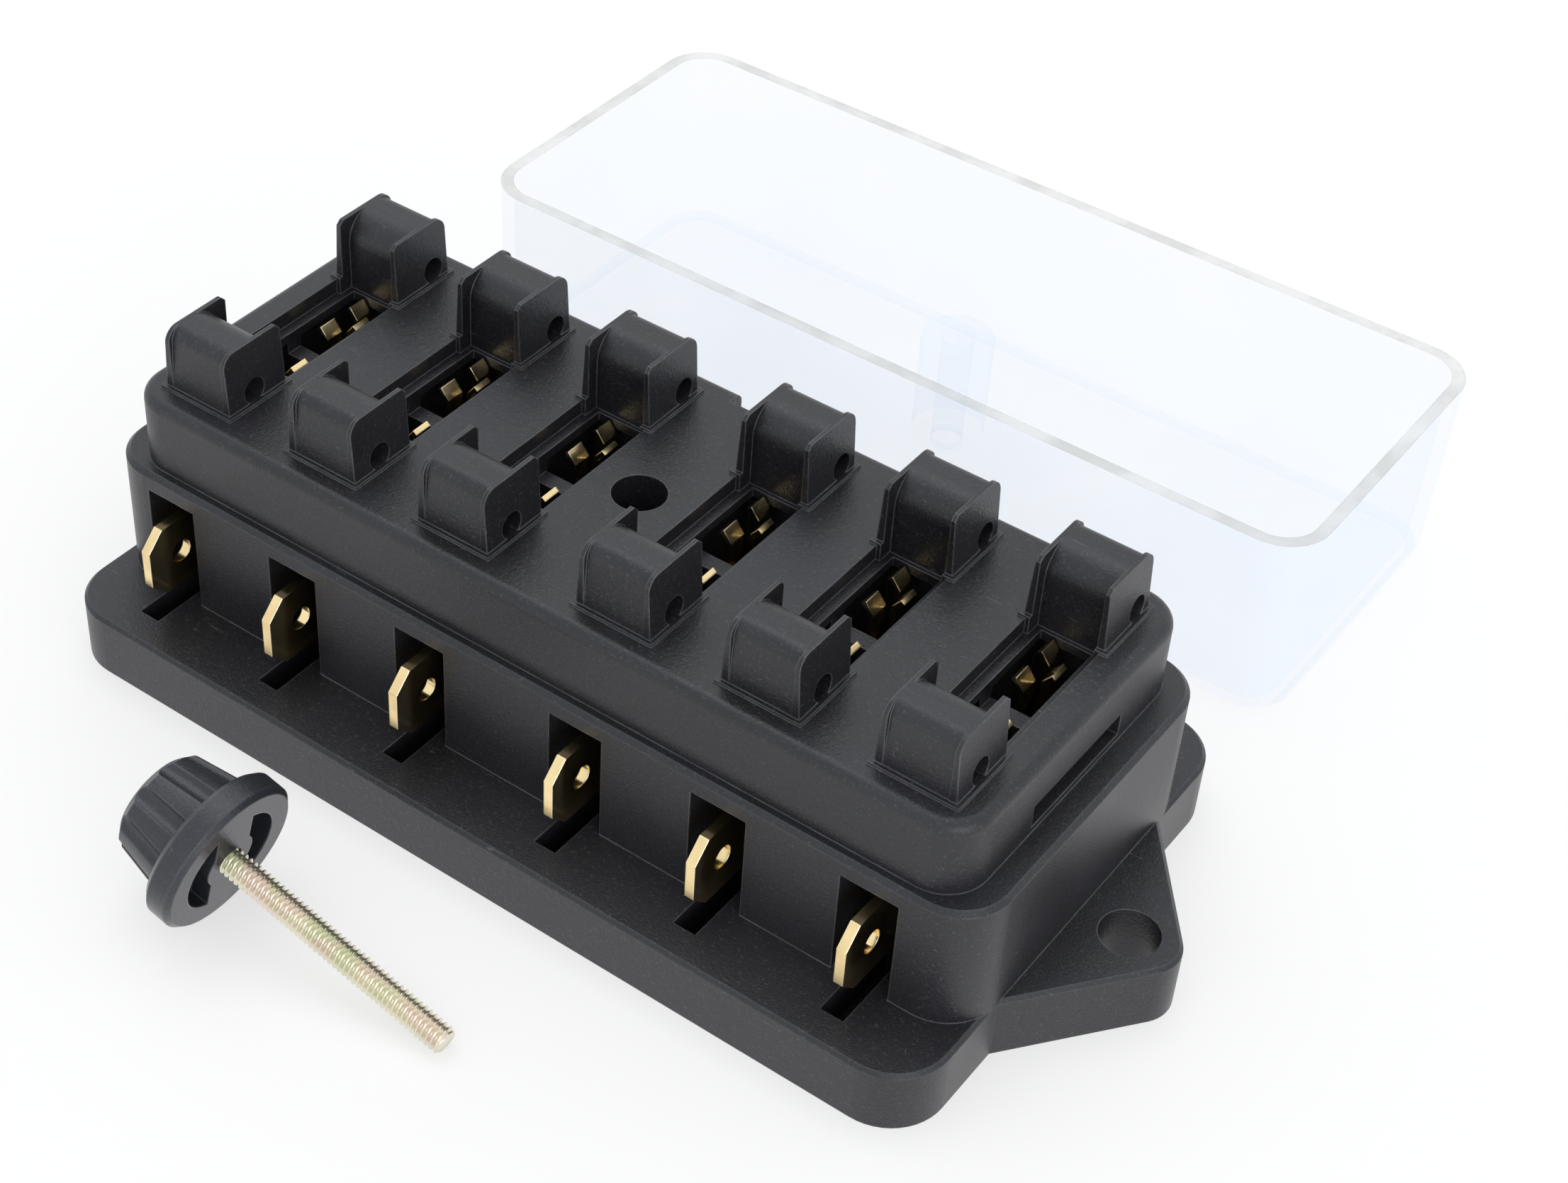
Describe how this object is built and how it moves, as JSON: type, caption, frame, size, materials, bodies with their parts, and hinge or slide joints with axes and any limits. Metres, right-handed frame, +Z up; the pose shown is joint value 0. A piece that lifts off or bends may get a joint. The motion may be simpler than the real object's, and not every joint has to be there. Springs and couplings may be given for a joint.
{
  "type": "blade fuse box",
  "caption": "Dark moulded blade fuse box with side tabs and mounting ears, its clear cover and knurled knob screw taken off beside it.",
  "frame": {"origin": "centre of the housing's underside", "axes": "+X along the row of circuits, +Y from the housing towards the cover that lies behind it, +Z up"},
  "size_m": [0.0958, 0.1019, 0.028],
  "materials": {
    "housing_plastic": "fine grained matt moulding",
    "base_plastic": "matt moulding",
    "nut_steel": "plain zinc plated",
    "terminal_brass": "stamped sheet, bright cut edges",
    "clear_plastic": "clear, polished",
    "knob_plastic": "matt moulding",
    "passivated_steel": "yellow passivated zinc"
  },
  "bodies": {
    "base": {"housing": "housing_plastic", "base_plate": "base_plastic", "captive_nut": "nut_steel", "terminal_front_1": "terminal_brass", "terminal_front_2": "terminal_brass", "terminal_front_3": "terminal_brass", "terminal_front_4": "terminal_brass", "terminal_front_5": "terminal_brass", "terminal_front_6": "terminal_brass", "terminal_rear_1": "terminal_brass", "terminal_rear_2": "terminal_brass", "terminal_rear_3": "terminal_brass", "terminal_rear_4": "terminal_brass", "terminal_rear_5": "terminal_brass", "terminal_rear_6": "terminal_brass"},
    "cover_body": {"cover": "clear_plastic"},
    "knob_screw": {"knob": "knob_plastic", "threaded_rod": "passivated_steel"}
  },
  "joints": [
    {"name": "cover_lift", "type": "slide", "parent": "base", "child": "cover_body", "axis": [0, 0, 1], "range_m": [0, 0.06]},
    {"name": "knob_turn", "type": "hinge", "parent": "base", "child": "knob_screw", "pos_m": [-0.00945, -0.0345, 0.00597], "axis": [0.9703, 0, -0.242], "continuous": true}
  ]
}
